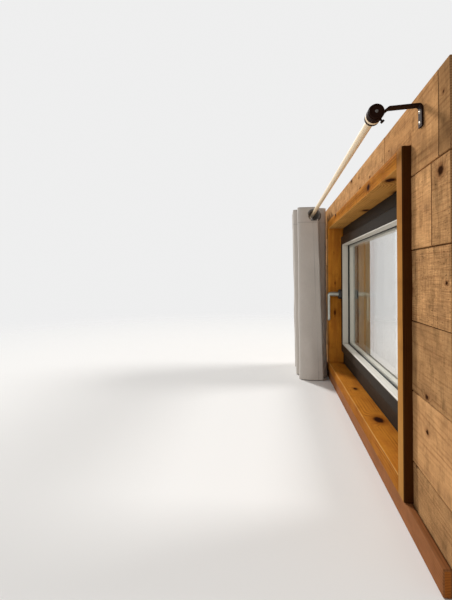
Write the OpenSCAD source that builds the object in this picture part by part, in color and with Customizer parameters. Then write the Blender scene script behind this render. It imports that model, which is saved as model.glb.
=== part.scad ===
// Window bay of a timber-lined loft side wall, with its curtain and rod.
// X runs along the wall, Y from the room (-) to the outside (+), Z up.
// The origin is the middle of the sole plate's underside.

/* [Wall] */
// Length of the bay along the wall
bay_l = 1690; // [1670:5:2400]
// Height of wall over the surround, up to the ceiling
over_h = 85; // [70:1:400]
// Rows of lining boards from the floor to the ceiling
board_rows = 6; // [3:1:12]
// Thickness of each stud and plate
stud_t = 45; // [38:1:50]
// Depth of each stud and plate through the wall
stud_d = 95; // [80:1:140]
// Thickness of the room-side lining boards
lining_t = 19; // [12:1:25]
// Thickness of the outer sheathing
sheath_t = 12; // [9:1:18]
// Thickness of the battens behind the cladding
batten_t = 20; // [16:1:30]
// Width of each batten
batten_w = 45; // [38:1:60]
// Thickness of the outside cladding
clad_t = 20; // [16:1:28]
// Thickness of the skirting strip
skirting_t = 14; // [8:1:18]

/* [Window surround] */
// Clear width between the surround's jambs
open_w = 1090; // [700:5:1160]
// Clear height between the surround's sill and head
open_h = 640; // [420:5:1200]
// Middle of the window along the wall
open_x = 82; // [50:1:110]
// Thickness of the surround's timbers
sur_t = 38; // [30:1:42]
// How far the surround stands out from the lining
sur_proud = 17; // [6:1:40]
// Bevel along the surround's room-side edges
sur_bevel = 2.5; // [1:0.5:5]
// Depth from the lining's face back to the window frame
recess_d = 53; // [40:1:60]

/* [Window] */
// Depth of the stop that the sash's edge closes against
stop_t = 16; // [8:1:20]
// Height of fixed frame that shows under the sash
frame_low = 54; // [20:1:60]
// Height of fixed frame that shows over the sash
frame_high = 41; // [20:1:60]
// Width of the sash's face
sash_w = 38; // [30:1:60]
// How far the sash stands out of the fixed frame
sash_proud = 12; // [2:1:16]
// Running gap round the sash
sash_gap = 3; // [2:0.5:5]
// Width of the stop behind the sash's edge
stop_w = 12; // [8:1:20]
// Depth of the glazing bead from the sash's face to the gasket
bead_d = 25; // [15:1:30]
// Thickness of the glazing bead
bead_t = 6; // [4:1:9]
// Thickness of each glazing gasket
gasket_t = 3; // [2:0.5:4]
// Thickness of each pane
pane_t = 4; // [3:1:6]
// Gap between the panes
pane_gap = 16; // [10:1:18]
// Width of the spacer bar between the panes
spacer_w = 12; // [8:1:14]
// Bevel along the sash's edges
sash_bevel = 3; // [1:0.5:4]

/* [Handle] */
// Width of the handle's base
base_w = 28; // [22:1:29]
// Height of the handle's base
base_h = 44; // [36:1:90]
// Thickness of the handle's base
base_t = 16; // [8:1:26]
// Diameter of the handle's neck
neck_d = 22; // [12:1:22]
// Length of the neck from the base to the lever
neck_l = 50; // [22:1:56]
// Length of the lever below its pivot
lever_l = 126; // [80:1:150]
// Width of the lever at its pivot
lever_w = 24; // [18:1:28]
// Width of the lever at its tip
lever_tip_w = 16; // [12:1:20]
// Thickness of the lever
lever_t = 10; // [7:1:14]

/* [Curtain rod] */
// Diameter of the rod
rod_d = 16; // [12:1:20]
// Distance from the ceiling line down to the rod's centre line
rod_drop = 42; // [38:1:50]
// Distance from the lining to the rod's centre line
rod_off = 83; // [70:1:120]
// Distance from the surround's near edge to the middle of the near bracket
bracket_out = 61; // [54:1:90]
// Distance from the gathered curtain to the middle of the far bracket
bracket_gap = 34; // [30:1:45]
// Width of the bracket's strap
strap_w = 18; // [12:1:20]
// Thickness of the bracket's strap
strap_t = 3; // [2:0.5:5]
// Inside radius of the strap's bend
strap_r = 4; // [2:0.5:8]
// Height of the bracket's wall plate
plate_h = 42; // [30:1:70]
// Height of the strap's top at the wall over the rod's centre line
arm_up = 13; // [6:0.5:16]
// Fall of the arm from the wall to the crank beside the ring
arm_fall = 3; // [0:0.5:5]
// Length of the crank that brings the arm down to the ring's middle
crank_l = 9; // [5:1:16]
// Diameter of the bracket's clamp ring
ring_d = 30; // [28:1:36]
// Clearance between the rod and what goes round it
rod_clear = 0.2; // [0.1:0.1:0.4]
// Diameter of the clamp screw's head
thumb_d = 8; // [6:1:12]
// Length of the clamp screw's head
thumb_l = 3.5; // [2:0.5:8]
// Length of the clamp screw that shows between the ring and its head
thumb_gap = 3.5; // [2:0.5:6]
// Angle of the clamp screw below the horizontal
thumb_turn = 50; // [20:1:90]
// Diameter of the rod's ferrules and of the collars beside them
collar_d = 29; // [22:1:32]
// Length of the ferrule at each end of the rod
ferrule_l = 9; // [5:1:10]
// Length of the collar beside each ferrule
collar_l = 8; // [4:1:10]
// Diameter of each end cap
cap_d = 28; // [22:1:34]
// Thickness of each end cap
cap_t = 4.5; // [4:0.5:8]
// Depth of the dish in each end cap's face
cap_dish = 1.5; // [0.5:0.5:2]

/* [Curtain] */
// Folds of cloth that stand side by side
folds = 8; // [6:1:10]
// Length of the gathered curtain along the rod
stack_l = 256; // [200:1:270]
// How far the gathered curtain laps over the surround's far edge
curtain_lap = 21; // [0:1:26]
// Distance from the rod's centre line to the curtain's free edge, beside the eyelet
free_edge = 38; // [37:1:48]
// Reach of the folds from the rod into the room
fold_reach = 100; // [60:1:130]
// Thickness of the folded cloth
cloth_t = 3; // [2:0.5:4]
// Height of the hem above the floor
hem_z = 8; // [4:1:40]
// Cloth above the eyelets
heading_h = 8; // [6:1:13]
// Outer diameter of each eyelet
eyelet_d = 68; // [60:1:70]
// Diameter of each eyelet's hole
eyelet_hole = 44; // [34:1:46]
// Space between the curtain and what stands beside it
curtain_gap = 3; // [2:0.5:6]

/* [Outside] */
// Thickness of the reveal boards round the window
reveal_t = 20; // [14:1:26]
// How far the reveal boards stand out from the cladding
reveal_proud = 10; // [4:1:20]
// Thickness of the sill flashing
flash_t = 2; // [1:0.5:3]
// How far the flashing stands out from the cladding
flash_out = 25; // [18:1:40]
// Fall of the flashing from the frame to its nose
flash_fall = 11; // [6:1:14]
// Height of the flashing's upstand and of its drip edge
flash_lip = 16; // [10:1:20]

/* [Hidden] */
$fn = 48;

fit_gap = 5;                               // packing space round the window frame
panel_gap = 3;                             // space between sheets and between cladding parts
seat = 0.3;                                // clearance between pieces that rest on each other

// Faces of the layers, from the room to the outside
room_y = -stud_d / 2 - lining_t;
stud_in_y = -stud_d / 2;
stud_out_y = stud_d / 2;
sheath_out_y = stud_out_y + sheath_t;
batten_out_y = sheath_out_y + batten_t;
clad_out_y = batten_out_y + clad_t;

// Ends of the bay and the clear opening
far_x = -bay_l / 2;
near_x = bay_l / 2;
open_far = open_x - open_w / 2;
open_near = open_x + open_w / 2;
skirting_h = stud_t;                       // the surround stands on the sole plate and the skirting
sill_z = skirting_h + sur_t;
head_z = sill_z + open_h;

// Outer edges of the surround, which the fixed frame shares
sur_far = open_far - sur_t;
sur_near = open_near + sur_t;
sur_low = sill_z - sur_t;
sur_high = head_z + sur_t;
wall_h = sur_high + over_h;
top_row_z = wall_h * (board_rows - 1) / board_rows;   // underside of the top row of lining

// Depths of the window
frame_y = room_y + recess_d;
sash_y = frame_y - sash_proud;
pane_y = sash_y + bead_d + gasket_t;
outer_pane_y = pane_y + pane_t + pane_gap;
lip_y = outer_pane_y + pane_t + gasket_t;
lip_t = 8;
sash_out_y = lip_y + lip_t;
stop_y = sash_out_y + seat;
frame_out_y = stop_y + stop_t;
glass_edge = 2;                            // space between the glass and the sash

// Outer rectangle of the sash
sash_far = open_far + sash_gap;
sash_near = open_near - sash_gap;
sash_low = sill_z + frame_low;
sash_high = head_z - frame_high;

// Handle, in the middle of the far stile
handle_x = sash_far + sash_w / 2;
handle_z = (sash_low + sash_high) / 2;
handle_face = sash_y - base_t;

// Rod, its ends and the curtain on it
rod_y = room_y - rod_off;
rod_z = wall_h - rod_drop;
arm_z = rod_z + arm_up;
curtain_far = sur_far + curtain_lap - stack_l;
bracket_near_x = sur_near + bracket_out;
bracket_far_x = curtain_far - bracket_gap;
cap_near = bracket_near_x + strap_w / 2;
cap_far = bracket_far_x - strap_w / 2;
ferrule_near = bracket_near_x - strap_w / 2 - ferrule_l;
ferrule_far = bracket_far_x + strap_w / 2;
fold_pitch = floor(50 * (stack_l - cloth_t) / (folds - 1)) / 50;   // to a fiftieth of a millimetre
fold_wall_y = room_y - max(skirting_t, sur_proud) - curtain_gap;
fold_room_y = rod_y - fold_reach;
eyelet_z = rod_z + rod_d / 2 + seat - eyelet_hole / 2;
curtain_top = eyelet_z + eyelet_d / 2 + heading_h;

// Outside reveal
reveal_far = open_far - reveal_t;
reveal_near = open_near + reveal_t;
reveal_high = head_z + reveal_t;
flash_z = sill_z - 6;
flash_nose_y = clad_out_y + flash_out;
clad_low = flash_z - flash_fall - 2 * flash_t;

timber = "#b98d5f";
frame_timber = "#c9a678";
anthracite = "#3a3f43";
bronze = "#2a1a12";

// A block between two corners
module block(low, high) {
    translate(low) cube(high - low);
}

// A slab of one layer, in the four parts that stand round an opening
module layer(y0, y1, x0, x1, z0, z1, gap) {
    block([far_x, y0, 0], [x0, y1, wall_h]);
    block([x1, y0, 0], [near_x, y1, wall_h]);
    block([x0 + gap, y0, z1], [x1 - gap, y1, wall_h]);
    block([x0 + gap, y0, 0], [x1 - gap, y1, z0]);
}

// One mitred bar: a profile carried along the side of a rectangle.
// The profile's x is the distance in from the outer edge and its y the depth.
module mitred_bar(length, depth, joint) {
    wide = length / 8;
    intersection() {
        rotate([90, 0, 90]) linear_extrude(length) children();
        translate([0, -1, 0]) rotate([90, 0, 0]) mirror([0, 0, 1])
            linear_extrude(depth + 2)
                polygon([[joint, 0], [length - joint, 0], [length - joint - wide, wide],
                    [joint + wide, wide]]);
    }
}

// Four sides of a rectangle, each turned to carry the same profile
module ring_side(side, x0, z0, x1, z1, y, depth, joint = 0) {
    w = x1 - x0;
    h = z1 - z0;
    if (side == "sill") translate([x0, y, z0])
        mitred_bar(w, depth, joint) mirror([1, -1]) children();
    if (side == "head") translate([x1, y, z1]) rotate([0, 180, 0])
        mitred_bar(w, depth, joint) mirror([1, -1]) children();
    if (side == "far") translate([x0, y, z1]) rotate([0, 90, 0])
        mitred_bar(h, depth, joint) mirror([1, -1]) children();
    if (side == "near") translate([x1, y, z0]) rotate([0, -90, 0])
        mitred_bar(h, depth, joint) mirror([1, -1]) children();
}

module sole_plate() {
    color(frame_timber) block([far_x, stud_in_y, 0], [near_x, stud_out_y, skirting_h]);
}

module top_plate() {
    color(frame_timber) block([far_x, stud_in_y, wall_h - stud_t], [near_x, stud_out_y, wall_h]);
}

module stud(x) {
    color(frame_timber)
        block([x, stud_in_y, skirting_h], [x + stud_t, stud_out_y, wall_h - stud_t]);
}

module far_end_stud() {
    stud(far_x);
}

module far_jamb_stud() {
    stud(sur_far - fit_gap - stud_t);
}

module near_jamb_stud() {
    stud(sur_near + fit_gap);
}

module near_end_stud() {
    stud(near_x - stud_t);
}

module window_lintel() {
    color(frame_timber)
        block([sur_far - fit_gap, stud_in_y, sur_high + fit_gap],
            [sur_near + fit_gap, stud_out_y, wall_h - stud_t]);
}

module lining_far() {
    color(timber) block([far_x, room_y, 0], [sur_far, stud_in_y, top_row_z]);
}

module lining_near() {
    color(timber) block([sur_near, room_y, 0], [near_x, stud_in_y, top_row_z]);
}

// The top row runs the whole length and is notched over the surround
module lining_over() {
    color(timber) difference() {
        union() {
            block([far_x, room_y, top_row_z], [near_x, stud_in_y, wall_h]);
            block([sur_far, room_y, sur_high], [sur_near, stud_in_y, wall_h]);
        }
        block([sur_far, room_y - 1, sur_low], [sur_near, stud_in_y + 1, sur_high]);
    }
}

module lining_under() {
    color(timber) block([sur_far, room_y, 0], [sur_near, stud_in_y, sur_low]);
}

module skirting() {
    color("#8a5a3a") block([far_x, room_y - skirting_t, 0], [near_x, room_y, skirting_h]);
}

module sheathing() {
    color("#a58a63")
        layer(stud_out_y, sheath_out_y, sur_far - fit_gap, sur_near + fit_gap,
            sur_low - fit_gap, sur_high + fit_gap, panel_gap);
}

module battens() {
    spread = open_w / 4;
    color(frame_timber) {
        for (x = [far_x, sur_far - fit_gap - batten_w, sur_near + fit_gap, near_x - batten_w])
            block([x, sheath_out_y, 0], [x + batten_w, batten_out_y, wall_h]);
        for (x = [open_x - spread, open_x + spread]) {
            block([x - batten_w / 2, sheath_out_y, reveal_high + panel_gap],
                [x + batten_w / 2, batten_out_y, wall_h]);
            block([x - batten_w / 2, sheath_out_y, 0], [x + batten_w / 2, batten_out_y, clad_low]);
        }
    }
}

module cladding() {
    color(timber)
        layer(batten_out_y, clad_out_y, reveal_far, reveal_near, clad_low,
            reveal_high, panel_gap);
}

// One timber of the surround in section: its depth along x, its room-side edges bevelled
module surround_section() {
    deep = sur_proud + recess_d;
    polygon([[0, sur_bevel], [sur_bevel, 0], [deep, 0], [deep, sur_t],
        [sur_bevel, sur_t], [0, sur_t - sur_bevel]]);
}

module surround_rail(z) {
    color("#c8792c") translate([open_far, room_y - sur_proud, z]) rotate([90, 0, 90])
        linear_extrude(open_w) surround_section();
}

module surround_post(x) {
    color("#c8792c") translate([x, room_y - sur_proud, sur_low])
        linear_extrude(sur_high - sur_low) mirror([1, -1]) surround_section();
}

module surround_head() {
    surround_rail(head_z);
}

module surround_sill() {
    surround_rail(sur_low);
}

module surround_jamb_far() {
    surround_post(sur_far);
}

module surround_jamb_near() {
    surround_post(open_near);
}

// Fixed frame: a post or rail beside the sash, with a stop behind the sash's edge
module frame_rail(z0, z1, stop_z0, stop_z1) {
    color(anthracite) {
        block([open_far, frame_y, z0], [open_near, stop_y, z1]);
        block([open_far + stop_w, stop_y, stop_z0],
            [open_near - stop_w, frame_out_y, stop_z1]);
    }
}

module frame_post(x0, x1, stop_x0, stop_x1) {
    color(anthracite) {
        block([x0, frame_y, sur_low], [x1, stop_y, sur_high]);
        block([stop_x0, stop_y, sur_low], [stop_x1, frame_out_y, sur_high]);
    }
}

module frame_head() {
    frame_rail(sash_high + sash_gap, sur_high, sash_high - stop_w, sur_high);
}

module frame_sill() {
    frame_rail(sur_low, sash_low - sash_gap, sur_low, sash_low + stop_w);
}

module frame_jamb_far() {
    frame_post(sur_far, open_far, sur_far, open_far + stop_w);
}

module frame_jamb_near() {
    frame_post(open_near, sur_near, open_near - stop_w, sur_near);
}

// Sash profile: bevelled face, with the outer lip that the glass stands against
module sash_profile() {
    deep = sash_out_y - sash_y;
    lip_w = sash_w + bead_t + 2;
    polygon([[0, sash_bevel], [sash_bevel, 0], [sash_w - 1, 0], [sash_w, 1],
        [sash_w, lip_y - sash_y], [lip_w - sash_bevel, lip_y - sash_y],
        [lip_w, lip_y - sash_y + sash_bevel], [lip_w, deep], [0, deep]]);
}

module sash_side(side) {
    color(anthracite)
        ring_side(side, sash_far, sash_low, sash_near, sash_high, sash_y, sash_out_y - sash_y)
            sash_profile();
}

module sash_head() {
    sash_side("head");
}

module sash_sill() {
    sash_side("sill");
}

module sash_stile_far() {
    sash_side("far");
}

module sash_stile_near() {
    sash_side("near");
}

module glazing_beads() {
    color("#bdb8ae") for (side = ["head", "sill", "far", "near"])
        ring_side(side, sash_far + sash_w, sash_low + sash_w, sash_near - sash_w,
            sash_high - sash_w, sash_y, bead_d, seat)
            polygon([[0, 1], [1, 0], [bead_t - 2, 0], [bead_t, 2], [bead_t, bead_d], [0, bead_d]]);
}

// A flat rectangular ring that lies in the window's plane
module flat_ring(inset, width, y0, y1) {
    difference() {
        block([sash_far + inset, y0, sash_low + inset], [sash_near - inset, y1, sash_high - inset]);
        block([sash_far + inset + width, y0 - 1, sash_low + inset + width],
            [sash_near - inset - width, y1 + 1, sash_high - inset - width]);
    }
}

module gaskets() {
    color("#17181a") {
        flat_ring(sash_w, bead_t + 2, pane_y - gasket_t, pane_y);
        flat_ring(sash_w, bead_t + 2, lip_y - gasket_t, lip_y);
    }
}

module pane(y) {
    inset = sash_w + glass_edge;
    color([0.75, 0.85, 0.88, 0.4])
        block([sash_far + inset, y, sash_low + inset], [sash_near - inset, y + pane_t, sash_high - inset]);
}

module inner_pane() {
    pane(pane_y);
}

module outer_pane() {
    pane(outer_pane_y);
}

module spacer() {
    color("#9a9d9e") flat_ring(sash_w + glass_edge, spacer_w, pane_y + pane_t, outer_pane_y);
}

// Two-ended outline with round ends, from one radius at the top to another at the tip
module tapered_bar(r_top, r_tip, length) {
    circle(r_top);
    translate([0, -length]) circle(r_tip);
    polygon([[-r_top, 0], [-r_tip, -length], [r_tip, -length], [r_top, 0]]);
}

module handle_base() {
    color("#26231f") translate([handle_x, sash_y, handle_z]) rotate([90, 0, 0])
        linear_extrude(base_t)
            translate([0, (base_h - base_w) / 2])
                tapered_bar(base_w / 2, base_w / 2, base_h - base_w);
}

module handle_lever() {
    color("#a9aca4") translate([handle_x, handle_face, handle_z]) rotate([90, 0, 0]) {
        cylinder(d = neck_d, h = neck_l);
        translate([0, 0, neck_l - lever_t])
            linear_extrude(lever_t)
                tapered_bar(lever_w / 2, lever_tip_w / 2, lever_l - lever_tip_w / 2);
    }
}

module reveal_head() {
    color(timber)
        block([open_far, frame_out_y, head_z], [open_near, clad_out_y + reveal_proud, reveal_high]);
}

module reveal_jambs() {
    color(timber) for (x = [reveal_far, open_near])
        block([x, frame_out_y, clad_low], [x + reveal_t, clad_out_y + reveal_proud, reveal_high]);
}

module sill_flashing() {
    nose_z = flash_z - flash_fall;
    color("#4a4d50") translate([open_far + 1, 0, 0]) rotate([90, 0, 90]) linear_extrude(open_w - 2)
        polygon([[frame_out_y, flash_z + flash_lip], [frame_out_y + flash_t, flash_z + flash_lip],
            [frame_out_y + flash_t, flash_z], [flash_nose_y, nose_z],
            [flash_nose_y, nose_z - flash_lip], [flash_nose_y - flash_t, nose_z - flash_lip],
            [flash_nose_y - flash_t, nose_z - flash_t], [frame_out_y, flash_z - flash_t]]);
}

// A cylinder along X from one place on the rod's centre line
module on_rod(x, d, length) {
    translate([x, rod_y, rod_z]) rotate([0, 90, 0]) cylinder(d = d, h = length);
}

// The rod with a ferrule behind each bracket's ring
module curtain_rod() {
    color("#f0d8b4") {
        on_rod(cap_far, rod_d, cap_near - cap_far);
        for (x = [ferrule_near, ferrule_far]) on_rod(x, collar_d, ferrule_l);
    }
}

// Outline of a strip of one thickness along a line of points
function strip_normal(a, b) = [a.y - b.y, b.x - a.x] / norm(b - a);
function strip_mitre(p, i) =
    let (before = i > 0 ? strip_normal(p[i - 1], p[i]) : strip_normal(p[i], p[i + 1]),
        after = i < len(p) - 1 ? strip_normal(p[i], p[i + 1]) : before,
        sum = before + after)
    2 * sum / (sum * sum);
function strip(p, t) = concat(
    [for (i = [0 : len(p) - 1]) p[i] + strip_mitre(p, i) * t / 2],
    [for (i = [len(p) - 1 : -1 : 0]) p[i] - strip_mitre(p, i) * t / 2]);

// Bracket in outline: wall plate, bend, arm, crank and clamp ring of one bent strap
module bracket_profile() {
    bend = strap_r + strap_t;
    rod_hole = rod_d / 2 + rod_clear;
    middle_z = arm_z - strap_t / 2;
    crank_y = rod_y + ring_d / 2 + crank_l;
    difference() {
        union() {
            translate([room_y - strap_t, arm_z - plate_h]) square([strap_t, plate_h - bend]);
            translate([room_y - bend, arm_z - bend]) intersection() {
                difference() {
                    circle(bend);
                    circle(strap_r);
                }
                square(bend);
            }
            polygon(strip([[room_y - bend, middle_z], [crank_y, middle_z - arm_fall],
                [rod_y + ring_d / 2, rod_z + strap_t / 2], [rod_y + rod_d / 2 + strap_t, rod_z + strap_t / 2]],
                strap_t));
            translate([rod_y, rod_z]) circle(d = ring_d);
        }
        translate([rod_y, rod_z]) circle(rod_hole);
    }
}

module bracket(x) {
    shank = ring_d / 2 - rod_d / 2 - rod_clear;
    color(bronze) {
        translate([x - strap_w / 2, 0, 0]) rotate([90, 0, 90]) linear_extrude(strap_w) bracket_profile();
        translate([x, rod_y, rod_z]) rotate([-90 - thumb_turn, 0, 0])
            translate([0, 0, ring_d / 2 - shank / 2]) {
                cylinder(d = thumb_d / 2, h = shank / 2 + thumb_gap);
                translate([0, 0, shank / 2 + thumb_gap]) cylinder(d = thumb_d, h = thumb_l);
            }
    }
}

module near_bracket() {
    bracket(bracket_near_x);
}

module far_bracket() {
    bracket(bracket_far_x);
}

// Dark collars that stand against the ferrules
module rod_collars() {
    color(bronze) for (x = [ferrule_near - collar_l, ferrule_far + ferrule_l]) difference() {
        on_rod(x, collar_d, collar_l);
        on_rod(x - 1, rod_d + 2 * rod_clear, collar_l + 2);
    }
}

// End cap turned about the rod's axis: round edge, dished face and centre spot
module end_cap() {
    r = cap_d / 2;
    edge = cap_t / 4;
    dish_r = r - edge - 1.5;
    color(bronze) rotate_extrude() difference() {
        union() {
            square([r - edge, cap_t]);
            translate([0, edge]) square([r, cap_t - 2 * edge]);
            for (y = [edge, cap_t - edge]) translate([r - edge, y]) circle(edge);
        }
        translate([-1, cap_t - cap_dish]) square([dish_r + 1, cap_dish + 1]);
        translate([-r, -1]) square([r, cap_t + 2]);
    }
    color(bronze) cylinder(r = dish_r / 3, h = cap_t - cap_dish / 2);
}

module near_cap() {
    translate([cap_near, rod_y, rod_z]) rotate([0, 90, 0]) end_cap();
}

module far_cap() {
    translate([cap_far, rod_y, rod_z]) rotate([0, -90, 0]) end_cap();
}

// Plan of the gathered cloth: panels across the rod, joined by round folds at alternate ends.
// The near panel's free edge stands beside its eyelet, on the wall side of the rod.
module fold_plan() {
    r = fold_pitch / 2;
    low = fold_room_y + r + cloth_t / 2;
    high = fold_wall_y - r - cloth_t / 2;
    for (i = [0 : folds - 1])
        translate([i * fold_pitch - cloth_t / 2, low])
            square([cloth_t, (i < folds - 1 ? high : rod_y + free_edge) - low]);
    for (i = [0 : folds - 2]) {
        up = (folds - i) % 2 == 1;
        translate([(i + 0.5) * fold_pitch, up ? high : low]) intersection() {
            difference() {
                circle(r + cloth_t / 2);
                circle(r - cloth_t / 2);
            }
            translate([-fold_pitch, up ? 0 : -fold_pitch]) square([2 * fold_pitch, fold_pitch]);
        }
    }
}

module curtain() {
    color("#9b938d") difference() {
        translate([curtain_far + cloth_t / 2, 0, hem_z])
            linear_extrude(curtain_top - hem_z) fold_plan();
        translate([curtain_far - 1, rod_y, eyelet_z]) rotate([0, 90, 0])
            cylinder(r = eyelet_d / 2 + seat, h = stack_l + 2);
    }
}

// Metal eyelets, one in each panel, hanging on the rod
module eyelets() {
    rim = (eyelet_d - eyelet_hole) / 4;
    flat = cloth_t + 2;
    color("#3a3835") for (i = [0 : folds - 1])
        translate([curtain_far + cloth_t / 2 + i * fold_pitch, rod_y, eyelet_z]) rotate([0, 90, 0])
            rotate_extrude() translate([eyelet_hole / 2 + rim, 0]) intersection() {
                circle(rim);
                square([2 * rim, flat], center = true);
            }
}

sole_plate();
top_plate();
far_end_stud();
far_jamb_stud();
near_jamb_stud();
near_end_stud();
window_lintel();
lining_far();
lining_near();
lining_over();
lining_under();
skirting();
sheathing();
battens();
cladding();
surround_head();
surround_sill();
surround_jamb_far();
surround_jamb_near();
frame_head();
frame_sill();
frame_jamb_far();
frame_jamb_near();
sash_head();
sash_sill();
sash_stile_far();
sash_stile_near();
glazing_beads();
gaskets();
inner_pane();
outer_pane();
spacer();
handle_base();
handle_lever();
reveal_head();
reveal_jambs();
sill_flashing();
curtain_rod();
near_bracket();
far_bracket();
rod_collars();
near_cap();
far_cap();
curtain();
eyelets();
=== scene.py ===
import math

import bmesh
import bpy
import numpy as np
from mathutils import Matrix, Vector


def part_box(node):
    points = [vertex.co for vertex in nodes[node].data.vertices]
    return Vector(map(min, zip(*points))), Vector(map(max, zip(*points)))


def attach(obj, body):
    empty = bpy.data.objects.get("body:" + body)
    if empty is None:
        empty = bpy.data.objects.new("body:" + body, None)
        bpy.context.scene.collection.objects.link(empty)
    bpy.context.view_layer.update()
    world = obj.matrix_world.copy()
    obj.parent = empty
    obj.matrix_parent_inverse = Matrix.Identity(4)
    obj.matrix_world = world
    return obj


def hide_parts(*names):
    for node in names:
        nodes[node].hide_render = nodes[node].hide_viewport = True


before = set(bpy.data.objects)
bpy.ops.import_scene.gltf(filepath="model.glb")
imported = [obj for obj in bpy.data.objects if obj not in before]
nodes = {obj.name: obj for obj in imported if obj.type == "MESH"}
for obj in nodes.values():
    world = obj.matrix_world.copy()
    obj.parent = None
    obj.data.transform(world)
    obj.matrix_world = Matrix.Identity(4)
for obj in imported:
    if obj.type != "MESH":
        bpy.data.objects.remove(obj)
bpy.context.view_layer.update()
print("frame loaded:", len(nodes), "nodes")

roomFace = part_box("lining_far")[0].y          # room-side face of the lining
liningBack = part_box("lining_far")[1].y
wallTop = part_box("lining_over")[1].z
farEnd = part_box("lining_far")[0].x
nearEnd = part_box("lining_near")[1].x
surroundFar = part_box("surround_jamb_far")[0].x
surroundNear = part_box("surround_jamb_near")[1].x
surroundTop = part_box("surround_jamb_near")[1].z
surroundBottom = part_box("surround_jamb_near")[0].z
boardRows = 6
rowHeight = wallTop / boardRows


def toLinear(code):
    # an sRGB hex colour as linear red, green, blue and alpha
    values = [int(code[i:i + 2], 16) / 255 for i in (1, 3, 5)]
    return [v / 12.92 if v <= 0.04045 else ((v + 0.055) / 1.055) ** 2.4 for v in values] + [1.0]


def addNode(tree, kind, inputs, output=0):
    # One shader node. Each of its inputs is a property, a number, a hex colour, or the socket that
    # feeds it. Sockets go by name, or by number from the top: a Map Range takes 0 from the span 1
    # to 2 and gives it between 3 and 4, and a Mix lays 7 over 6 by the share 0. The output asked
    # for comes back, or the node itself where it has none.
    node = tree.nodes.new("ShaderNode" + kind)
    for key, value in inputs.items():
        if isinstance(value, bpy.types.NodeSocket):
            tree.links.new(value, node.inputs[key])
        elif isinstance(key, str) and hasattr(node, key):
            setattr(node, key, value)
        else:
            node.inputs[key].default_value = toLinear(value) if isinstance(value, str) else value
    return node.outputs[output] if len(node.outputs) else node


def newMaterial(name):
    # an empty material and its node tree
    material = bpy.data.materials.new(name)
    material.use_nodes = True
    material.node_tree.nodes.clear()
    return material, material.node_tree


# Softwood as it comes to the eye: growth rings are level lines of a stretched noise that part
# round the knots and fade in and out, crossed by short fibres. Sawn faces have the blade's ridges
# and dark smudges across the grain, and some boards are rasped rougher than others. ring, fibre,
# knotSize, knotCell, saw and sawHeight are sizes in metres, along the grain before across it. The
# other numbers are strengths.
# Each wood's pale colour goes where a timber is painted paler, partly as wear and partly as light.
roughPine = {                                 # band-sawn lining boards: dry, dull and furry
    "light": "#be9264", "mid": "#a7784b", "dark": "#70452a", "knot": "#2f1a0e", "old": "#8e6c4c",
    "worn": "#be9264", "ring": 0.0095, "ringSway": 6.5, "ringDepth": 0.30, "fibre": (0.030, 0.0022),
    "fibreDepth": 0.34, "knotSize": 0.0068, "knotCell": (0.15, 0.10), "knotChance": 0.42,
    "saw": 0.006, "sawShade": 0.26, "sawHeight": 0.0008, "smudge": 0.42, "pits": 0.8, "age": 0.6,
    "boards": 0.32, "rough": 0.85, "shine": 0.0,
}
goldenPine = {                                # planed and stained: smooth, warm, with bold rings
    "light": "#c98430", "mid": "#a9641e", "dark": "#763c12", "knot": "#2c1208", "old": "#945226",
    "worn": "#c4924f", "ring": 0.0075, "ringSway": 6.0, "ringDepth": 0.48, "fibre": (0.06, 0.0012),
    "fibreDepth": 0.12, "knotSize": 0.010, "knotCell": (0.15, 0.085), "knotChance": 0.55,
    "saw": 0.004, "sawShade": 0.0, "sawHeight": 0.00012, "smudge": 0.18, "pits": 0.0, "age": 0.3,
    "boards": 0.05, "rough": 0.6, "shine": 0.01,
}
floorPine = {                                 # planed and oiled: brown, with fine close rings
    "light": "#94603a", "mid": "#7c4c2a", "dark": "#5a3218", "knot": "#301a0e", "old": "#6e4a30",
    "worn": "#94603a", "ring": 0.0058, "ringSway": 3.0, "ringDepth": 0.30, "fibre": (0.05, 0.0012),
    "fibreDepth": 0.12, "knotSize": 0.0055, "knotCell": (0.33, 0.06), "knotChance": 0.5,
    "saw": 0.004, "sawShade": 0.0, "sawHeight": 0.0001, "smudge": 0.16, "pits": 0.0, "age": 0.3,
    "boards": 0.05, "rough": 0.55, "shine": 0.02,
}
framingPine = {                               # clean sawn framing: pale, straight and dry
    "light": "#dcbf8e", "mid": "#cba672", "dark": "#a37b49", "knot": "#5f3c20", "old": "#bd9d70",
    "worn": "#dcbf8e", "ring": 0.008, "ringSway": 4.0, "ringDepth": 0.32, "fibre": (0.05, 0.0014),
    "fibreDepth": 0.10, "knotSize": 0.009, "knotCell": (0.30, 0.10), "knotChance": 0.5,
    "saw": 0.003, "sawShade": 0.05, "sawHeight": 0.0003, "smudge": 0.10, "pits": 0.1, "age": 0.25,
    "boards": 0.05, "rough": 0.8, "shine": 0.3,
}
# Painted shade: a near black brown, laid on timber faces to stand for the shade on them
paintedShadeColour = "#260e06"
tintSpread = 7.31           # times this, the part after the point of a board's number is its tone
logLength, logWidth = 40, 20                  # how far into the pattern a board may start


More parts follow.
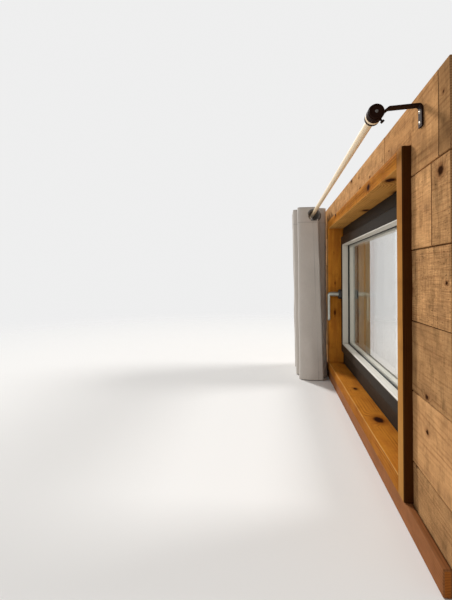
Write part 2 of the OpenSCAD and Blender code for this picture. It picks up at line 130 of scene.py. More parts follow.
def softwood(name, wood, upright=False):
    # The grain attribute holds the place along and across the grain, and the board's own number.
    # An upright piece has none, and its grain follows Z instead. The rings are the sine of the
    # place across the grain over the ring's width, swayed by a slow noise and by the knots. A knot
    # is a ragged disc in each cell that its chance picks. Tones multiply into a shade, and layers
    # lie one over another by their shares.
    material, tree = newMaterial(name)
    noises = {                                # cell along and across the grain, detail, roughness
        "frays": (0.012, 0.006, 1.0, 0.5), "sways": (0.9, 0.13, 2.0, 0.5),
        "fades": (0.18, 0.03, 2.0, 0.5), "fibres": (*wood["fibre"], 3.0, 0.6),
        "clouds": (0.10, 0.045, 4.0, 0.6), "sawn": (wood["saw"], 0.045, 2.0, 0.65),
        "smudges": (0.030, 0.060, 5.0, 0.62), "pits": (0.0075, 0.0032, 1.0, 0.5),
    }
    if upright:
        noises["boards"] = (3.0, 0.3, 2.0, 0.5)
        place = addNode(tree, "Mapping", {"Rotation": (math.pi / 2, math.pi / 2, 0),
                                          "Vector": addNode(tree, "TexCoord", {}, "Object")})
    else:
        place, stain, worn = [addNode(tree, "Attribute", {"attribute_name": key}, output)
                              for key, output in (("grain", "Vector"), ("stain", "Fac"), ("worn", "Fac"))]
    deep = 1 if upright else 0                # the attribute's third part is no depth
    for key, (along, across, detail, roughness) in noises.items():
        cells = addNode(tree, "Mapping", {"Scale": (1 / along, 1 / across, deep / across), "Vector": place})
        noises[key] = addNode(tree, "TexNoise", {
            "Vector": cells, "Scale": 1.0, "Detail": detail, "Roughness": roughness})
    placeAcross = addNode(tree, "SeparateXYZ", {0: place}, 1)

    cellLong, cellWide = wood["knotCell"]
    cells = addNode(tree, "Mapping", {"Scale": (1 / cellLong, 1 / cellWide, 1 / cellWide), "Vector": place})
    knots = addNode(tree, "TexVoronoi", {"voronoi_dimensions": "2D", "Vector": cells, "Scale": 1.0,
                                         "Randomness": 0.6}, "Distance")
    chance = addNode(tree, "SeparateColor", {0: knots.node.outputs["Color"]})
    knotReach = addNode(tree, "MapRange", {0: chance, 1: wood["knotChance"], 2: 1.0, 3: 0.0001,
                                           4: wood["knotSize"] / cellWide * 1.6})
    frayed = addNode(tree, "Math", {"operation": "MULTIPLY_ADD", 0: noises["frays"], 1: 0.05, 2: knots})
    fromKnot = addNode(tree, "Math", {"operation": "DIVIDE", 0: frayed, 1: knotReach})
    core, halo, swell = [addNode(tree, "MapRange", {
        "interpolation_type": "SMOOTHSTEP", 0: fromKnot, 1: inner, 2: outer, 3: most, 4: 0.0})
        for inner, outer, most in ((0.7, 1.3, 1.0), (1.0, 2.3, 0.55), (0.0, 3.2, 1.0))]
    push = addNode(tree, "MapRange", {0: knotReach, 1: 0.0, 2: 0.12, 3: 0.0, 4: 4.0})
    bulge = addNode(tree, "Math", {"operation": "MULTIPLY", 0: swell, 1: push})

    sway = addNode(tree, "Math", {
        "operation": "MULTIPLY_ADD", 0: noises["sways"], 1: wood["ringSway"], 2: bulge})
    rings = addNode(tree, "Math", {"operation": "MULTIPLY_ADD", 0: placeAcross, 1: 1 / wood["ring"], 2: sway})
    turns = addNode(tree, "Math", {"operation": "MULTIPLY", 0: rings, 1: 2 * math.pi})
    wave = addNode(tree, "Math", {"operation": "SINE", 0: turns})
    clear = addNode(tree, "MapRange", {0: noises["fades"], 1: 0.42, 2: 0.64, 3: 0.1 * wood["ringDepth"],
                                       4: 1.3 * wood["ringDepth"]})
    latewood = addNode(tree, "MapRange", {
        "interpolation_type": "SMOOTHSTEP", 0: wave, 1: -0.1, 2: 1.0, 3: 0.0, 4: clear})
    aged = addNode(tree, "MapRange", {0: noises["clouds"], 1: 0.45, 2: 0.72, 3: 0.0, 4: wood["age"]})

    if upright:
        board = rasped = noises["boards"]
        tint = noises["clouds"]
        coats, marks = [], []
    else:
        number = placeAcross.node.outputs[2]
        spread = addNode(tree, "Math", {"operation": "MULTIPLY", 0: number, 1: tintSpread})
        board = addNode(tree, "Math", {"operation": "FRACT", 0: spread})
        doubled = addNode(tree, "Math", {"operation": "MULTIPLY", 0: board, 1: 2.0})
        rasped = addNode(tree, "Math", {"operation": "FRACT", 0: doubled})
        drift = addNode(tree, "MapRange", {0: noises["clouds"], 1: 0.35, 2: 0.65, 3: 0.0, 4: 0.4})
        tint = addNode(tree, "Math", {"operation": "MULTIPLY_ADD", 0: number, 1: 0.6, 2: drift})
        # the pale coat is partly wear and partly painted light, and the near black mark is painted shade
        coats, marks = [(worn, wood["worn"])], [(stain, paintedShadeColour)]
    colour = wood["light"]
    for share, over in ((tint, wood["mid"]), (aged, wood["old"]), *coats, (latewood, wood["dark"]),
                        (halo, wood["dark"])):
        colour = addNode(tree, "Mix", {"data_type": "RGBA", 0: share, 6: colour, 7: over}, 2)
    shade = 1.0
    for source, low, high, first, last in (
            (noises["fibres"], 0.3, 0.7, 1 - wood["fibreDepth"], 1 + 0.7 * wood["fibreDepth"]),
            (noises["sawn"], 0.32, 0.68, 1 - wood["sawShade"], 1 + 0.7 * wood["sawShade"]),
            (noises["pits"], 0.62, 0.76, 1.0, 1 - wood["pits"])):
        tone = addNode(tree, "MapRange", {0: source, 1: low, 2: high, 3: first, 4: last})
        shade = addNode(tree, "Math", {"operation": "MULTIPLY", 0: shade, 1: tone})
    # the saw's marks are as strong as the board is rasped, and the wide tones come over them
    sawMarks = addNode(tree, "Math", {"operation": "SUBTRACT", 0: shade, 1: 1.0})
    strength = addNode(tree, "MapRange", {0: rasped, 1: 0.0, 2: 1.0, 3: 0.15, 4: 1.0})
    shade = addNode(tree, "Math", {"operation": "MULTIPLY_ADD", 0: sawMarks, 1: strength, 2: 1.0})
    for source, low, high, first, last in (
            (noises["smudges"], 0.50, 0.74, 1 + 0.12 * wood["smudge"], 1 - wood["smudge"]),
            (board, 0.0, 1.0, 1 - wood["boards"], 1 + wood["boards"])):
        tone = addNode(tree, "MapRange", {0: source, 1: low, 2: high, 3: first, 4: last})
        shade = addNode(tree, "Math", {"operation": "MULTIPLY", 0: shade, 1: tone})
    colour = addNode(tree, "VectorMath", {"operation": "SCALE", 0: colour, "Scale": shade})
    for share, over in ((core, wood["knot"]), *marks):
        colour = addNode(tree, "Mix", {"data_type": "RGBA", 0: share, 6: colour, 7: over}, 2)

    height = addNode(tree, "Math", {
        "operation": "MULTIPLY_ADD", 0: noises["fibres"], 1: 0.35, 2: noises["sawn"]})
    bump = addNode(tree, "Bump", {"Strength": 0.8, "Distance": wood["sawHeight"], "Height": height})
    addNode(tree, "OutputMaterial", {"Surface": addNode(tree, "BsdfPrincipled", {
        "Base Color": colour, "Normal": bump, "Roughness": wood["rough"], "IOR": 1.5,
        "Specular IOR Level": wood["shine"]})})
    return material


# The sawn end of a timber, where the rings run round a pith that lies outside the section
sawnEnd = {"pith": (0.012, -0.055, 0), "ring": 0.0042, "wander": 2.5, "ringDepth": 0.55,
           "poresPerMetre": 1300.0, "roughness": 0.9, "shine": 0.15}


def endGrain(name, wood):
    # The grain attribute holds the place in the section. The rings are the sine of the distance
    # from the pith, over the ring's width. Pores speckle them every 0.8 mm, coarser than real
    # ones, so that they show. It looks dull, and darker than the faces.
    material, tree = newMaterial(name)
    place = addNode(tree, "Attribute", {"attribute_name": "grain"}, "Vector")
    split = addNode(tree, "SeparateXYZ", {0: place}).node.outputs
    flat = addNode(tree, "CombineXYZ", {0: split[0], 1: split[1]})
    fromPith = addNode(tree, "VectorMath", {"operation": "DISTANCE", 0: flat, 1: sawnEnd["pith"]}, "Value")
    ragged = addNode(tree, "TexNoise", {"Scale": 60.0, "Detail": 3.0, "Vector": flat})
    wander = addNode(tree, "Math", {"operation": "MULTIPLY", 0: ragged, 1: sawnEnd["wander"]})
    turns = addNode(tree, "Math", {
        "operation": "MULTIPLY_ADD", 0: fromPith, 1: 2 * math.pi / sawnEnd["ring"], 2: wander})
    wave = addNode(tree, "Math", {"operation": "SINE", 0: turns})
    latewood = addNode(tree, "MapRange", {"interpolation_type": "SMOOTHSTEP", 0: wave, 1: 0.0, 2: 1.0,
                                          3: 0.0, 4: sawnEnd["ringDepth"]})
    pores = addNode(tree, "TexNoise", {"Scale": sawnEnd["poresPerMetre"], "Detail": 1.0, "Vector": flat})
    colour = wood["mid"]
    for share, over in ((split[2], wood["old"]), (latewood, wood["dark"])):
        colour = addNode(tree, "Mix", {"data_type": "RGBA", 0: share, 6: colour, 7: over}, 2)
    speckle = addNode(tree, "MapRange", {0: pores, 1: 0.35, 2: 0.65, 3: 0.78, 4: 1.02})
    colour = addNode(tree, "VectorMath", {"operation": "SCALE", 0: colour, "Scale": speckle})
    bump = addNode(tree, "Bump", {"Strength": 0.5, "Distance": 0.0003, "Height": pores})
    addNode(tree, "OutputMaterial", {"Surface": addNode(tree, "BsdfPrincipled", {
        "Base Color": colour, "Normal": bump, "Roughness": sawnEnd["roughness"], "IOR": 1.5,
        "Specular IOR Level": sawnEnd["shine"]})})
    return material


# Softwood plywood, its veneers stacked across Y from start, each one ply thick: a pale face veneer
# with peeled figure, and light and dark bands where it is cut
sheathingPly = {"face": "#c6a373", "patch": "#a98251", "light": "#cfae80", "dark": "#8a6438",
                "start": 0.0475, "ply": 0.0024, "roughness": 0.85, "shine": 0.2}


def plywood(name, board):
    # Where the surface looks along Y it has the face veneer's figure, a noise stretched to streaks
    # of 280 by 37 mm. Elsewhere it has bands: the place across the board over two plies, less its
    # whole part, cut in halves. Fibres of 1.4 mm speckle both, coarse enough to show.
    material, tree = newMaterial(name)
    place = addNode(tree, "TexCoord", {}, "Object")
    stretched = addNode(tree, "Mapping", {"Scale": (1.2, 1.2, 9.0), "Vector": place})
    figure = addNode(tree, "TexNoise", {"Scale": 3.0, "Detail": 6.0, "Distortion": 1.2, "Vector": stretched})
    grains = addNode(tree, "TexNoise", {"Scale": 700.0, "Detail": 2.0, "Vector": place})
    through = addNode(tree, "Math", {
        "operation": "SUBTRACT", 0: addNode(tree, "SeparateXYZ", {0: place}, 1), 1: board["start"]})
    layer = addNode(tree, "Math", {"operation": "DIVIDE", 0: through, 1: 2 * board["ply"]})
    layer = addNode(tree, "Math", {"operation": "FRACT", 0: layer})
    normal = addNode(tree, "SeparateXYZ", {0: addNode(tree, "NewGeometry", {}, "Normal")}, 1)
    facing = addNode(tree, "Math", {"operation": "ABSOLUTE", 0: normal})
    dark, patchy, face, speckle = [
        addNode(tree, "MapRange", {0: source, 1: low, 2: high, 3: first, 4: last})
        for source, low, high, first, last in (
            (layer, 0.48, 0.52, 0.0, 1.0), (figure, 0.42, 0.62, 0.0, 1.0),
            (facing, 0.4, 0.6, 0.0, 1.0), (grains, 0.35, 0.65, 0.88, 1.06))]
    plies = addNode(tree, "Mix", {"data_type": "RGBA", 0: dark, 6: board["light"], 7: board["dark"]}, 2)
    veneer = addNode(tree, "Mix", {"data_type": "RGBA", 0: patchy, 6: board["face"], 7: board["patch"]}, 2)
    colour = addNode(tree, "Mix", {"data_type": "RGBA", 0: face, 6: plies, 7: veneer}, 2)
    colour = addNode(tree, "VectorMath", {"operation": "SCALE", 0: colour, "Scale": speckle})
    bump = addNode(tree, "Bump", {"Strength": 0.4, "Distance": 0.0002, "Height": grains})
    addNode(tree, "OutputMaterial", {"Surface": addNode(tree, "BsdfPrincipled", {
        "Base Color": colour, "Normal": bump, "Roughness": board["roughness"],
        "Specular IOR Level": board["shine"]})})
    return material


# Coated, cast and moulded finishes: what each is, its colour, roughness, metallic and specular
# level, and the size and height of its skin's grains in metres, drawn no finer than shows
finishes = {
    # the frame's dark coat is warmed brown: a painted reflection of the room's warm light
    "frame": ("powderCoatedAluminium", "#2b241d", 0.42, 0.0, 0.03, 0.0011, 0.00004),    # dull orange peel
    "bead": ("extrudedBeadPlastic", "#bdb7ab", 0.45, 0.0, 0.3, 0.002, 0.00002),         # even and satin
    "gasket": ("gasketRubber", "#17181a", 0.7, 0.0, 0.3, 0.001, 0.00004),               # matt black
    "spacer": ("millAluminium", "#c3bdb0", 0.4, 0.4, 0.5, 0.001, 0.00002),              # grey, half bright
    "lever": ("satinCastZinc", "#a9aca4", 0.38, 1.0, 0.5, 0.0012, 0.00003),             # soft metal gleam
    "leverBase": ("blackCastZinc", "#26231f", 0.45, 0.0, 0.5, 0.0012, 0.00004),         # painted, pebbled
    "bronze": ("darkBronzeCoat", "#26150e", 0.5, 0.0, 0.02, 0.0012, 0.00005),           # near black, brown
    "rod": ("ivoryEnamelledSteel", "#f0d5ac", 0.3, 0.0, 0.5, 0.003, 0.000004),          # smooth and glossy
    "flashing": ("coatedSheetMetal", "#4a4d50", 0.45, 0.3, 0.5, 0.003, 0.00003),        # flat grey sheet
    "eyelet": ("gunmetalPlating", "#5a5652", 0.35, 0.9, 0.5, 0.001, 0.00002),           # dark and shiny
    "screw": ("zincPlatedScrew", "#b3aa9e", 0.35, 0.9, 0.5, 0.001, 0.00002),            # bright, yellowish
}


def coated(name, code, roughness, metallic, shine, grit, depth):
    # one colour that drifts a little over about 70 mm, with scuffs of 6 mm that are duller, under
    # a skin of fine grains
    material, tree = newMaterial(name)
    place = addNode(tree, "TexCoord", {}, "Object")
    drift = addNode(tree, "TexNoise", {"Scale": 14.0, "Detail": 4.0, "Roughness": 0.55, "Vector": place})
    scuffs = addNode(tree, "TexNoise", {"Scale": 160.0, "Detail": 2.0, "Vector": place})
    grains = addNode(tree, "TexNoise", {"Scale": 1 / grit, "Detail": 1.0, "Vector": place})
    shade = addNode(tree, "MapRange", {0: drift, 1: 0.3, 2: 0.7, 3: 0.95, 4: 1.04})
    colour = addNode(tree, "VectorMath", {"operation": "SCALE", 0: toLinear(code)[:3], "Scale": shade})
    polish = addNode(tree, "MapRange", {0: scuffs, 1: 0.35, 2: 0.7, 3: roughness - 0.02, 4: roughness + 0.05})
    bump = addNode(tree, "Bump", {"Strength": 0.5, "Distance": depth, "Height": grains})
    addNode(tree, "OutputMaterial", {"Surface": addNode(tree, "BsdfPrincipled", {
        "Base Color": colour, "Normal": bump, "Roughness": polish, "Metallic": metallic,
        "Specular IOR Level": shine})})
    return material


# Float glass, with a faint green in it and a film of dust
windowFloat = {"colour": "#eef5f2", "roughness": 0.01, "bend": 1.5, "dust": 0.05}


def floatGlass(name, pane):
    # It mirrors more the flatter it is looked at, by the Fresnel share where light enters, and is
    # clear elsewhere but for the dust, which lies in clouds of 33 mm.
    material, tree = newMaterial(name)
    leaving = addNode(tree, "NewGeometry", {}, "Backfacing")
    entering = addNode(tree, "Math", {"operation": "SUBTRACT", 0: 1.0, 1: leaving})
    fresnel = addNode(tree, "Fresnel", {"IOR": pane["bend"]})
    mirrored = addNode(tree, "Math", {"operation": "MULTIPLY", 0: entering, 1: fresnel})
    dust = addNode(tree, "TexNoise", {"Scale": 30.0, "Detail": 5.0, "Roughness": 0.7,
                                      "Vector": addNode(tree, "TexCoord", {}, "Object")})
    film = addNode(tree, "MapRange", {0: dust, 1: 0.5, 2: 0.8, 3: 0.0, 4: pane["dust"]})
    solid = addNode(tree, "Math", {"operation": "ADD", 0: mirrored, 1: film})
    addNode(tree, "OutputMaterial", {"Surface": addNode(tree, "BsdfPrincipled", {
        "Base Color": pane["colour"], "Metallic": 1.0, "Roughness": pane["roughness"],
        "Alpha": solid})})
    return material


# Plain-woven cotton: warp and weft ribs cross, with slubs and a soft sheen. Threads are drawn 1.3
# mm apart, about twice the real spacing, so that they show. wave is how many bands the wave
# texture has in a metre at a scale of 1, and slub counts slubs in a metre: 1.1 mm wide, 25 mm long.
curtainCotton = {"shade": "#aca39a", "light": "#d8cfc5", "thread": 0.0013, "depth": 0.00025, "wave": 3.18,
                 "slub": (900, 40, 1), "rough": 0.85, "sheen": 0.35, "seamShade": 0.72}


def wovenCotton(name, cloth):
    # The colour's share is 0.35 of the two ribs' product, 0.45 of the slubs and 0.4 of the clouds.
    # Stitched seams are darker and drawn in.
    material, tree = newMaterial(name)
    place = addNode(tree, "UVMap", {"uv_map": "cloth"})
    warp, weft = [addNode(tree, "TexWave", {
        "bands_direction": way, "Scale": 1 / cloth["thread"] / cloth["wave"], "Distortion": 0.6,
        "Detail": 1.0, "Vector": place}, 1) for way in ("X", "Y")]
    weave = addNode(tree, "Math", {"operation": "MULTIPLY", 0: warp, 1: weft})
    streaks = addNode(tree, "Mapping", {"Scale": cloth["slub"], "Vector": place})
    slubs = addNode(tree, "TexNoise", {"Scale": 1.0, "Detail": 3.0, "Vector": streaks})
    clouds = addNode(tree, "TexNoise", {"Scale": 9.0, "Detail": 4.0, "Vector": place})
    share = addNode(tree, "Math", {"operation": "MULTIPLY", 0: clouds, 1: 0.4})
    for part, strength in ((slubs, 0.45), (weave, 0.35)):
        share = addNode(tree, "Math", {"operation": "MULTIPLY_ADD", 0: part, 1: strength, 2: share})
    colour = addNode(tree, "Mix", {"data_type": "RGBA", 0: share, 6: cloth["shade"], 7: cloth["light"]}, 2)
    seam = addNode(tree, "Attribute", {"attribute_name": "seam"}, "Fac")
    stitched = addNode(tree, "MapRange", {0: seam, 1: 0.55, 2: 1.0, 3: 1.0, 4: cloth["seamShade"]})
    colour = addNode(tree, "VectorMath", {"operation": "SCALE", 0: colour, "Scale": stitched})
    height = addNode(tree, "Math", {"operation": "MULTIPLY_ADD", 0: seam, 1: -1.5, 2: weave})
    bump = addNode(tree, "Bump", {"Strength": 0.6, "Distance": cloth["depth"], "Height": height})
    addNode(tree, "OutputMaterial", {"Surface": addNode(tree, "BsdfPrincipled", {
        "Base Color": colour, "Normal": bump, "Roughness": cloth["rough"], "IOR": 1.45,
        "Sheen Weight": cloth["sheen"], "Sheen Roughness": 0.4})})
    return material


materials = {
    "lining": softwood("sawnPineLining", roughPine),
    "cladding": softwood("sawnPineCladding", roughPine),
    "surround": softwood("goldenStainedPine", goldenPine),
    "skirting": softwood("oiledPineStrip", floorPine),
    "framing": softwood("sawnFramingPine", framingPine),
    "battens": softwood("sawnPineBattens", framingPine, upright=True),
    "sheathing": plywood("softwoodPlywood", sheathingPly),
    "liningEnd": endGrain("sawnPineBoardEnd", roughPine),
    "surroundEnd": endGrain("goldenPineEnd", goldenPine),
    "framingEnd": endGrain("framingPineEnd", framingPine),
    **{key: coated(*finish) for key, finish in finishes.items()},
    "glass": floatGlass("floatGlass", windowFloat),
    "curtain": wovenCotton("plainWovenCotton", curtainCotton),
}
print("materials made:", len(materials))


def makePiece(name, points, faces, material, replaced=(), attributes=None, ends=None):
    # one object from arrays, riding on the wall; ends is a material and the faces that have it.
    # attributes are numbers or vectors for the points, which the materials read
    mesh = bpy.data.meshes.new(name)
    mesh.from_pydata(points.reshape(-1, 3), [], faces)
    for key, values in (attributes or {}).items():
        kind = "FLOAT_VECTOR" if values.ndim == 2 else "FLOAT"
        layer = mesh.attributes.new(key, kind, "POINT")
        layer.data.foreach_set("vector" if values.ndim == 2 else "value", values.ravel())
    mesh.polygons.foreach_set("use_smooth", [True] * len(mesh.polygons))
    mesh.materials.append(material)
    if ends:
        mesh.materials.append(ends[0])
        mesh.polygons.foreach_set("material_index",
                                  np.isin(np.arange(len(faces)), ends[1]).astype(int))
    piece = bpy.data.objects.new(name, mesh)
    bpy.context.scene.collection.objects.link(piece)
    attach(piece, "root")
    if replaced:
        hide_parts(*replaced)
    return piece


def gridFaces(rings, around, closed=True):
    # quads between neighbouring rings, whose points run anticlockwise seen from the last ring
    row = np.arange(rings - 1)[:, None] * around
    column = np.arange(around if closed else around - 1)[None, :]
    following = (column + 1) % around
    quads = np.stack([row + column, row + following, row + around + following,
                      row + around + column], axis=-1)
    return quads.reshape(-1, 4).tolist()


def capFaces(rings, around):
    # the two ends of such a run, on points of their own that follow it
    first = np.arange(around) + rings * around
    return [first[::-1].tolist(), (first + around).tolist()]


def sharpen(piece, angle=35):
    # edges steeper than this angle stay crisp
    bpy.context.view_layer.objects.active = piece
    piece.select_set(True)
    bpy.ops.object.shade_smooth_by_angle(angle=math.radians(angle))
    piece.select_set(False)


# One tongue-and-groove board. The waves are in radians for each metre of its length, and step is
# how far apart its sections are.
liningBoard = {"gap": 0.0022, "round": 0.0016, "tongue": 0.006, "grooveFront": 0.0065,
               "grooveBack": 0.0125, "groovePlay": 0.001, "tonguePlay": 0.0004, "unevenFace": 0.0010,
               "unevenEdge": 0.0005, "faceWave": 3.1, "edgeWave": 5.3, "setBack": 0.0006,
               "cup": 0.0005, "step": 0.03}


def boardSection(board, thick):
    # The section's points as (share, offset, depth): the share of the way from the lower edge to
    # the upper one, the height past that place, and the depth behind the face. They run round the
    # groove, a quarter circle at the lower arris, the face, the upper arris and the tongue.
    half, soft = board["gap"] / 2, board["round"]
    bend = np.radians([0, 30, 60, 90])
    lowRound = [(0, half + soft * (1 - math.cos(a)), soft * (1 - math.sin(a))) for a in bend]
    highRound = [(1, -half - soft * (1 - math.sin(a)), soft * (1 - math.cos(a))) for a in bend]
    reach = board["tongue"]
    front, back, play = board["grooveFront"], board["grooveBack"], board["tonguePlay"]
    bottom = half + reach + board["groovePlay"]
    low = [(0, half, thick), (0, half, back), (0, bottom, back), (0, bottom, front), (0, half, front)]
    high = [(1, -half, front + play), (1, reach - half, front + play), (1, reach - half, back - play),
            (1, -half, back - play), (1, -half, thick)]
    face = [(0.25, 0, 0), (0.5, 0, 0), (0.75, 0, 0)]
    return np.array(low + lowRound + face + highRound + high)


def boardMesh(rng, board, stations, low, high, faceY, thick, outward, tone=None):
    # A section carried along X. At each station a point's height is the lower edge, plus its share
    # of the board's height, plus its offset and a sine of the place along X. Its depth is behind
    # a face that is slightly cupped and wanders by another sine. outward is -1 where the face
    # looks at the room and +1 at the outside. The top board's tongue is cut off flush with the
    # wall. tone says how pale the board is, where that isn't left to chance.
    section = boardSection(board, thick)
    share, offset, depth = section.T
    count = len(stations)
    phase = rng.uniform(0, 2 * math.pi, 4)
    sway = board["unevenEdge"] * np.sin(stations * board["edgeWave"] + phase[0])
    drift = board["unevenFace"] * (0.5 + 0.5 * np.sin(stations * board["faceWave"] + phase[1]))
    drift = drift + rng.uniform(0, board["setBack"])
    cup = board["cup"] * np.sin(np.pi * np.clip(share, 0, 1))
    z = low[:, None] + (high - low)[:, None] * share + offset + sway[:, None] * (depth < thick / 2)
    z = np.minimum(z, wallTop)
    inset = (drift[:, None] + cup) * (depth < thick * 0.3)        # the back stays flat
    y = faceY - outward * (depth + inset)
    x = np.broadcast_to(stations[:, None], z.shape)
    points = np.stack([x, y, z], axis=-1)
    edges = np.hypot(np.diff(offset + share * rowHeight), np.diff(depth))
    around = np.concatenate([[0], np.cumsum(edges)])
    tint = rng.uniform(0, 1)
    if tone is not None:
        tint = (3 + tone) / tintSpread
    along = rng.uniform(0, logLength) + rng.choice([-1, 1]) * x
    grain = np.stack([along, rng.uniform(0, logWidth) + np.broadcast_to(around, z.shape),
                      np.full_like(z, tint)], axis=-1)
    caps = points[[0, -1]].reshape(-1, 3)
    capGrain = np.stack([caps[:, 1] - faceY, caps[:, 2] - low[0] - rowHeight / 2,
                         np.full(len(caps), tint)], axis=-1)
    faces = gridFaces(count, len(section)) + capFaces(count, len(section))
    if outward > 0:
        faces = [f[::-1] for f in faces]
    return (np.concatenate([points.reshape(-1, 3), caps]), faces,
            np.concatenate([grain.reshape(-1, 3), capGrain]))


def boardRun(name, seed, board, boards, faceY, thick, outward, material, end, replaced, slot, tones=()):
    # Several boards joined into one piece; each is (from, to, lower edge, upper edge, notches), and
    # tones gives how pale each one is, from 0 to 1. A notch (from, to, top) lifts the lower edge to
    # its top, so two stations stand at each of its ends, and the first of them belongs to the
    # stretch before it.
    rng = np.random.default_rng(seed)
    allPoints, allFaces, allGrain, endFaces, start = [], [], [], [], 0
    for k, (x0, x1, z0, z1, notches) in enumerate(boards):
        count = max(2, int((x1 - x0) / board["step"]) + 1)
        steps = [x for notch in notches for x in notch[:2] if x0 < x < x1]
        stations = np.sort(np.concatenate([np.linspace(x0, x1, count), np.repeat(steps, 2)]))
        low = np.full(len(stations), z0)
        middle = (np.concatenate([[x0], stations[:-1]]) + stations) / 2
        following = (stations + np.concatenate([stations[1:], [x1]])) / 2
        for n0, n1, top in notches:
            first = np.isin(stations, steps) & (np.diff(stations, append=stations[-1] + 1) == 0)
            inside = np.where(first, (middle > n0) & (middle < n1), (following > n0) & (following < n1))
            low = np.where(inside & (top > z0), top, low)
        points, faces, grain = boardMesh(rng, board, stations, low, np.full(len(stations), z1),
                                         faceY, thick, outward, tones[k] if tones else None)
        allPoints.append(points)
        allGrain.append(grain)
        allFaces += [[i + start for i in f] for f in faces]
        endFaces += [len(allFaces) - 2, len(allFaces) - 1]
        start += len(points)
    piece = makePiece(name, np.concatenate(allPoints), allFaces, material, replaced,
                      {"grain": np.concatenate(allGrain)}, (end, endFaces))
    sharpen(piece)


# Where the lining's boards meet, read off the wall: the heights of the rows' edges between floor
# and wall top, the lowest board being cut to fit, and the butt joints along two of the rows
liningJoints = {"gap": 0.0032, "edges": (0.130, 0.270, 0.409, 0.550, 0.697),
                "topRow": (0.801, 0.465), "fifthRow": (0.769,),
                "nearTones": (0.0, 0.61, 0.2, 0.47, 0.77, 0.38)}


def splitRow(x0, x1, joints, z0, z1, notches=()):
    # one row cut at its joints, with a hairline between the ends
    cuts = [x0] + sorted(j for j in joints if x0 < j < x1) + [x1]
    half = liningJoints["gap"] / 2
    return [(a + (half if a != x0 else 0), b - (half if b != x1 else 0), z0, z1, notches)
            for a, b in zip(cuts[:-1], cuts[1:])]


def makeLining():
    # rows beside the window, a top row notched over it, and a strip under it
    thick = liningBack - roomFace
    rows = list(zip((0, *liningJoints["edges"]), (*liningJoints["edges"], wallTop)))
    farBoards, nearBoards = [], []
    for k, (z0, z1) in enumerate(rows[:-1]):
        farBoards += splitRow(farEnd, surroundFar, (), z0, z1)
        nearBoards += splitRow(surroundNear, nearEnd, liningJoints["fifthRow"] if k == 4 else (), z0, z1)
    notch = ((surroundFar, surroundNear, surroundTop),)
    topBoards = splitRow(farEnd, nearEnd, liningJoints["topRow"], *rows[-1], notch)
    common = (roomFace, thick, -1, materials["lining"], materials["liningEnd"])
    boardRun("liningBoardsFar", 11, liningBoard, farBoards, *common, ("lining_far",), "lining_boards")
    boardRun("liningBoardsNear", 43915, liningBoard, nearBoards, *common, ("lining_near",), "lining_boards",
             liningJoints["nearTones"])
    boardRun("liningBoardsTop", 692, liningBoard, topBoards, *common, ("lining_over",), "lining_boards")
    boardRun("liningStripUnder", 14, liningBoard,
             splitRow(surroundFar, surroundNear, (), 0, surroundBottom), *common,
             ("lining_under",), "lining_boards")


# Cladding boards outside, in even rows, cut round the window's reveal boards with a little room
claddingJoints = {"topRow": (0.120,), "thirdRow": (-0.690,), "room": 0.001}


def makeCladding():
    inside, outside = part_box("cladding")[0].y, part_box("cladding")[1].y
    room = claddingJoints["room"]
    farCut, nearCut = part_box("reveal_jambs")[0].x - room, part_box("reveal_jambs")[1].x + room
    lowCut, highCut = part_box("reveal_jambs")[0].z - room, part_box("reveal_head")[1].z + room
    boards = []
    for k in range(boardRows - 1):
        z0, z1 = k * rowHeight, (k + 1) * rowHeight
        boards += splitRow(farEnd, farCut, claddingJoints["thirdRow"] if k == 2 else (), z0, z1)
        boards += splitRow(nearCut, nearEnd, (), z0, z1)
    boards += splitRow(farCut + 2 * room, nearCut - 2 * room, (), 0, lowCut)
    boards += splitRow(farEnd, nearEnd, claddingJoints["topRow"], wallTop - rowHeight, wallTop,
                       ((farCut, nearCut, highCut),))
    boardRun("claddingBoards", 15, liningBoard, boards, outside, outside - inside, 1,
             materials["cladding"], materials["liningEnd"], ("cladding",), "cladding_boards")


makeLining()
makeCladding()
print("lining and cladding made")


# One timber: its arrises' radius, how far apart its sections are, and how far its marks take to
# fade
timber = {"soft": 0.0025, "step": 0.06, "fade": 0.0006}


